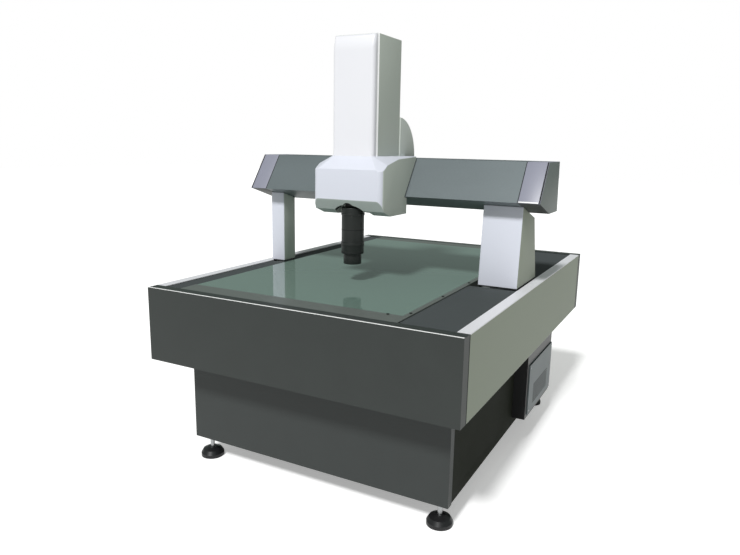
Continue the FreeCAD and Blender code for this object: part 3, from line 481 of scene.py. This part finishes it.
def buildLens(v):
    low, high = corners("lens_tube")
    tipLow, tipHigh = corners("lens_tip")
    centre = ((low.x + high.x) / 2, (low.y + high.y) / 2)
    radius = (high.x - low.x) / 2
    tube = soften(rod("lensTubeBody", radius, low.z, high.z, centre, 96), v["edge"], 3, 40)
    place(tube, "z_slide", "blackAnodised", "black_metal", "lens_tube")
    for number, (height, tall, proud) in enumerate(v["rings"]):
        size = radius + (proud or v["groove"])
        ring = soften(rod(f"lensRing{number}", size, height, height + tall, centre, 96), 0.001, 2, 40)
        place(ring, "z_slide", "blackAnodised" if proud else "gapAndShadeBlack", "black_metal")
    tipRadius = (tipHigh.x - tipLow.x) / 2
    tip = rod("lensTipBody", tipRadius, tipLow.z + v["lift"], tipHigh.z, centre, 96)
    foot = tipLow.z
    carve(tip, rod("tipHollow", tipRadius * v["hollow"], foot - 0.01, foot + v["hollowDeep"], centre))
    place(soften(tip, v["tipEdge"], 3, 40), "z_slide", "blackAnodised", "black_metal", "lens_tip")
    glass = rod("frontGlass", tipRadius * v["glass"], foot + v["glassLow"], foot + v["glassHigh"], centre)
    place(soften(glass, 0.001, 2, 40), "z_slide", "lensGlass", "stage_glass")
    lamps = []
    reach = tipRadius * v["lampCircle"]
    for step in range(v["lamps"]):
        angle = math.tau * step / v["lamps"]
        spot = (centre[0] + math.cos(angle) * reach, centre[1] + math.sin(angle) * reach)
        lamps.append(rod(f"lamp{step}", v["lampRadius"], foot, foot + v["lampTall"], spot, 12))
    place(join("ringLamps", lamps), "z_slide", "lampWhite", "lamp_white")


buildLens(lensValues)
print("lens built")

# bellows: shallow pleats
bellowsValues = {"pitch": 0.018, "rise": 0.003, "thick": 0.0012,
                 "track": 0.0022, "slotShadeLow": 0.004, "slotShadeTop": 0.001}


def buildBellows(v):
    for node in ("bellows_right_front", "bellows_right_rear", "bellows_left_front", "bellows_left_rear"):
        low, high = corners(node)
        middle = (low + high) / 2
        rows = 2 * round((high.y - low.y) / v["pitch"])
        clearSelection()
        bpy.ops.mesh.primitive_grid_add(x_subdivisions=6, y_subdivisions=rows, size=1,
                                        location=(middle.x, middle.y, high.z - v["rise"]))
        piece = bpy.context.object
        first, *others = node.split("_")
        piece.name = piece.data.name = first + "".join(word.title() for word in others)
        piece.scale = (high.x - low.x, high.y - low.y, 1)
        settle(piece)
        only(piece)
        bpy.ops.object.mode_set(mode="EDIT")
        bpy.ops.mesh.select_mode(type="VERT")
        bpy.ops.mesh.select_all(action="DESELECT")
        bpy.ops.object.mode_set(mode="OBJECT")
        step = (high.y - low.y) / rows
        for vertex in piece.data.vertices:
            vertex.select = round((vertex.co.y - low.y) / step) % 2 == 1
        bpy.ops.object.mode_set(mode="EDIT")
        bpy.ops.transform.translate(value=(0, 0, v["rise"]))
        bpy.ops.object.mode_set(mode="OBJECT")
        apply(piece, "SOLIDIFY", thickness=v["thick"], offset=-1)
        piece.data.materials.append(finishes["bellowsCloth"])
        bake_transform(piece)
        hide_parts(node)
        # painted shade: thin black strips along both edges of the bellows stand for the dark slots beside
        # them
        for side, edge in (("Inner", low.x), ("Outer", high.x)):
            track = block(f"{piece.name}Track{side}", (edge - v["track"], low.y, low.z - v["slotShadeLow"]),
                          (edge + v["track"], high.y, low.z + v["slotShadeTop"]))
            place(soften(track, 0.0004, 1), "table", "gapAndShadeBlack", "black_metal")


buildBellows(bellowsValues)
print("bellows built")

# columns with softened edges, painted shade on their sideways faces and a painted shadow under their feet
columnValues = {"edge": 0.004, "bendY": -0.175, "rearY": 0.035, "keelY": -0.058, "keelZ": 1.215,
                "leftDrop": 0.0036, "footShadowInset": 0.004, "footShadowTall": 0.0035, "footShadowTop": 0.001}


def buildColumns(v):
    low, high = corners("right_column_cover")
    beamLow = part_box("beam_front_cover")[0]
    right = block("rightColumnShell", low, high)
    trimAlong(right, (low.y, low.z), (v["bendY"], high.z))
    trimAlong(right, (high.y, low.z), (v["rearY"], v["keelZ"]))
    trimAlong(right, (v["bendY"], high.z), (v["keelY"], v["keelZ"]))
    place(soften(right, v["edge"], 3), "bridge", "coolShadedWhite", "cover_white", "right_column_cover")
    lowLeft, highLeft = corners("left_column_cover")
    left = block("leftColumnShell", lowLeft, highLeft)
    trimAlong(left, (lowLeft.y, highLeft.z), (highLeft.y, beamLow[2] + v["leftDrop"]))
    place(soften(left, v["edge"], 3), "bridge", "coolShadedWhite", "cover_white", "left_column_cover")
    # painted shade: the sideways faces of the columns are painted grey-green, darker on the right column
    # than on the left
    for piece, sideShade in ((right, "columnShade"), (left, "sidePaintAndShade")):
        piece.data.materials.append(finishes[sideShade])
        for face in piece.data.polygons:
            if abs(face.normal.x) > 0.9:
                face.material_index = 1
    # painted shadow: a thin black block under each column's foot stands for the shadow gap above the
    # bellows
    inset = v["footShadowInset"]
    for name, foot, top in (("rightColumnFootShadow", low, high), ("leftColumnFootShadow", lowLeft, highLeft)):
        footShadow = block(name, (foot.x + inset, foot.y + inset, foot.z - v["footShadowTall"]),
                     (top.x - inset, top.y - inset, foot.z + v["footShadowTop"]))
        place(soften(footShadow, 0.0005, 1), "bridge", "gapAndShadeBlack", "black_plastic")


buildColumns(columnValues)
print("columns built")

# beam: end caps, joint lines and a bright edge
beamValues = {"line": 0.0035, "endLine": 0.006, "proud": 0.0010, "noseZ": 1.273, "topY": -0.124,
              "keelY": -0.058, "rearTopY": 0.085, "bright": 0.006, "brightProud": 0.0016,
              "brightStart": 0.002, "sunk": 0.001, "soft": 0.0015}


def buildBeamCaps(v):
    for node, side in (("beam_cap_right", 1), ("beam_cap_left", -1)):
        low, high = corners(node)
        nose = (low.y, v["noseZ"])
        cap = block("beamCapRight" if side > 0 else "beamCapLeft", low, high)
        trimAlong(cap, nose, (v["topY"], high.z))
        trimAlong(cap, nose, (v["keelY"], low.z))
        trimAlong(cap, (high.y, low.z), (v["rearTopY"], high.z))
        place(soften(cap, v["soft"], 3), "bridge", "capGrey", "beam_light", node)
        cap.data.materials.append(finishes["capEndShade"])
        cap.data.materials.append(finishes["coverDark"])
        # painted shade: the caps' end faces take a darker grey-green and their downward faces the dark
        # cover paint
        for face in cap.data.polygons:
            if face.normal.x * side > 0.9:
                face.material_index = 1
            elif face.normal.z < -0.3:
                face.material_index = 2


def buildBeamTrim(v):
    low, high = corners("beam_front_cover")
    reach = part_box("beam_cap_right")[1][0]
    nose = Vector((0, low.y, v["noseZ"]))
    crown = Vector((0, v["topY"], high.z))
    slope = crown - nose
    tilt = Matrix.Rotation(math.atan2(slope.z, slope.y), 4, "X")
    middle = (nose + crown) / 2
    half = slope.length / 2 - v["soft"]
    endX = reach - v["endLine"] / 2 - v["soft"]
    for name, x, wide in (("beamJointRight", high.x, v["line"]), ("beamJointLeft", low.x, v["line"]),
                          ("beamEndLineRight", endX, v["endLine"]),
                          ("beamEndLineLeft", -endX, v["endLine"])):
        line = block(name, (-wide / 2, -half, -v["sunk"]), (wide / 2, half, v["proud"]))
        line.matrix_world = Matrix.Translation((x, middle.y, middle.z)) @ tilt
        settle(line)
        place(soften(line, 0.0004, 2), "bridge", "gapAndShadeBlack", "black_plastic")
    edge = block("beamCapBrightEdge", (high.x + v["line"], 0, -v["sunk"]),
                 (reach - v["endLine"] - v["line"], v["bright"], v["brightProud"]))
    edge.matrix_world = Matrix.Translation(nose + slope.normalized() * v["brightStart"]) @ tilt
    settle(edge)
    place(soften(edge, 0.0004, 2), "bridge", "brightTrim", "aluminium")


buildBeamCaps(beamValues)
buildBeamTrim(beamValues)
print("beam trimmed")

# table: edge trims, seams, and sheets of painted shade over the side panels' outer faces
tableValues = {"trimTall": 0.0016, "trimDeep": 0.006, "trimInset": 0.001, "seam": 0.002, "seamSunk": 0.003,
               "seamProud": 0.0008, "shadeSunk": 0.001, "shadeProud": 0.0007, "shadeEnds": 0.002,
               "shadeFoot": 0.001, "shadeTop": 0.004}
sideNames = {1: "Right", -1: "Left"}


def buildTableTrim(v):
    low, high = corners("front_cover")
    rearLow, rearHigh = corners("rear_cover")
    inset = v["trimInset"]
    for name, y in (("frontEdgeTrim", low.y), ("rearEdgeTrim", rearHigh.y - v["trimDeep"])):
        strip = block(name, (low.x + inset, y, high.z - inset),
                      (high.x - inset, y + v["trimDeep"], high.z + v["trimTall"]))
        place(soften(strip, 0.0006, 2), "table", "brightTrim", "aluminium")
    for name, y in (("frontSeam", high.y), ("rearSeam", rearLow.y)):
        for side in (-1, 1):
            x = side * high.x
            near, far = sorted((x - side * v["seamSunk"], x + side * v["seamProud"]))
            seam = block(name + sideNames[side], (near, y - v["seam"] / 2, low.z),
                         (far, y + v["seam"] / 2, high.z))
            place(seam, "table", "gapAndShadeBlack", "black_plastic")
    # painted shade: a thin dark grey-green sheet over each side panel's outer face
    for side, node in ((1, "side_panel_right"), (-1, "side_panel_left")):
        panelLow, panelHigh = corners(node)
        x = panelHigh.x if side > 0 else panelLow.x
        near, far = sorted((x - side * v["shadeSunk"], x + side * v["shadeProud"]))
        shadeSheet = block("sideShadeSheet" + sideNames[side],
                     (near, panelLow.y + v["shadeEnds"], panelLow.z + v["shadeFoot"]),
                     (far, panelHigh.y - v["shadeEnds"], panelHigh.z - v["shadeTop"]))
        place(soften(shadeSheet, 0.0003, 1), "table", "panelShade", "skirt_white")


buildTableTrim(tableValues)
print("table trimmed")

# control box: vents and screws on its panel
controlValues = {"vents": 9, "pitch": 0.012, "ventStart": 0.035, "ventTall": 0.004, "ventInset": 0.09,
                 "ventSunk": 0.0005, "ventProud": 0.0006, "screw": 0.005, "screwInset": 0.018,
                 "screwSunk": 0.001, "screwProud": 0.0018}


def buildControlBox(v):
    low, high = corners("control_box_panel")
    slots = []
    for number in range(v["vents"]):
        z = low.z + v["ventStart"] + number * v["pitch"]
        slot = block(f"vent{number}", (high.x - v["ventSunk"], low.y + v["ventInset"], z),
                     (high.x + v["ventProud"], high.y - v["ventInset"], z + v["ventTall"]))
        slots.append(soften(slot, 0.0004, 1))
    place(join("controlVents", slots), "table", "gapAndShadeBlack", "black_plastic")
    heads = []
    inset = v["screwInset"]
    for y in (low.y + inset, high.y - inset):
        for z in (low.z + inset, high.z - inset):
            head = rod(f"panelHead{len(heads)}", v["screw"], high.x - v["screwSunk"],
                       high.x + v["screwProud"], (y, z), 20, "x")
            heads.append(soften(head, 0.0008, 2))
    place(join("controlPanelScrews", heads), "table", "groundSteel", "screw_steel")


buildControlBox(controlValues)
print("control box finished")

# camera, floor and light
cameraValues = {"place": (1.45198, -3.05803, 1.51481), "azimuth": 28.0154, "elevation": 11.6954,
                "roll": 0.9905, "lens": 31.261}


def buildCamera(v):
    azimuth, elevation, roll = (math.radians(v[key]) for key in ("azimuth", "elevation", "roll"))
    level = math.cos(elevation)
    back = Vector((math.sin(azimuth) * level, -math.cos(azimuth) * level, math.sin(elevation)))
    across = Vector((0, 0, 1)).cross(back).normalized()
    up = back.cross(across)
    turned = math.cos(roll) * across + math.sin(roll) * up
    upright = math.cos(roll) * up - math.sin(roll) * across
    camera = bpy.data.objects.new("camera", bpy.data.cameras.new("camera"))
    camera.data.lens = v["lens"]
    camera.data.sensor_width = 36
    camera.data.clip_end = 100
    turn = Matrix((turned, upright, back)).transposed().to_4x4()
    camera.matrix_world = Matrix.Translation(v["place"]) @ turn
    bpy.context.scene.collection.objects.link(camera)
    bpy.context.scene.camera = camera


buildCamera(cameraValues)
lightValues = {"sunFrom": (0.04, -1.0, 1.12), "sun": 2.9, "softness": 9, "fill": 0.30,
               "fillColor": (0.96, 1.0, 0.95), "around": (0.20, 0.25, 0.23), "floorGlow": 0.36,
               "floorSize": 60, "floorGrey": 0.9}


def buildLight(v):
    sun = bpy.data.objects.new("keySun", bpy.data.lights.new("keySun", "SUN"))
    sun.data.energy = v["sun"]
    sun.data.angle = math.radians(v["softness"])
    sun.rotation_euler = Vector(v["sunFrom"]).to_track_quat("Z", "Y").to_euler()
    bpy.context.scene.collection.objects.link(sun)
    world = bpy.data.worlds.new("studio")
    bpy.context.scene.world = world
    world.use_nodes = True
    tree = world.node_tree
    tree.nodes.clear()
    seen = tree.nodes.new("ShaderNodeLightPath")
    white, fill, around = (tree.nodes.new("ShaderNodeBackground") for _ in range(3))
    fill.inputs["Strength"].default_value = v["fill"]
    fill.inputs["Color"].default_value = (*v["fillColor"], 1)
    white.inputs["Color"].default_value = (1, 1, 1, 1)
    around.inputs["Color"].default_value = (*v["around"], 1)
    soft, mix = tree.nodes.new("ShaderNodeMixShader"), tree.nodes.new("ShaderNodeMixShader")
    tree.links.new(seen.outputs["Is Glossy Ray"], soft.inputs[0])
    tree.links.new(fill.outputs[0], soft.inputs[1])
    tree.links.new(around.outputs[0], soft.inputs[2])
    tree.links.new(seen.outputs["Is Camera Ray"], mix.inputs[0])
    tree.links.new(soft.outputs[0], mix.inputs[1])
    tree.links.new(white.outputs[0], mix.inputs[2])
    output = tree.nodes.new("ShaderNodeOutputWorld")
    tree.links.new(mix.outputs[0], output.inputs[0])


def buildFloor(v):
    clearSelection()
    bpy.ops.mesh.primitive_plane_add(size=v["floorSize"], location=(0, 0, 0))
    floor = bpy.context.object
    floor.name = "studioFloor"
    material = bpy.data.materials.new("floorPaper")
    material.use_nodes = True
    tree = material.node_tree
    shader = tree.nodes["Principled BSDF"]
    shader.inputs["Base Color"].default_value = (*[v["floorGrey"]] * 3, 1)
    shader.inputs["Roughness"].default_value = 0.9
    shader.inputs["Specular IOR Level"].default_value = 0.0
    shader.inputs["Emission Color"].default_value = (1, 1, 1, 1)
    seen = tree.nodes.new("ShaderNodeLightPath")
    glow = tree.nodes.new("ShaderNodeMath")
    glow.operation = "MULTIPLY"
    glow.inputs[1].default_value = v["floorGlow"]
    tree.links.new(seen.outputs["Is Camera Ray"], glow.inputs[0])
    tree.links.new(glow.outputs[0], shader.inputs["Emission Strength"])
    floor.data.materials.append(material)


buildLight(lightValues)
buildFloor(lightValues)
bpy.context.scene.view_settings.view_transform = "Standard"
print("studio ready")
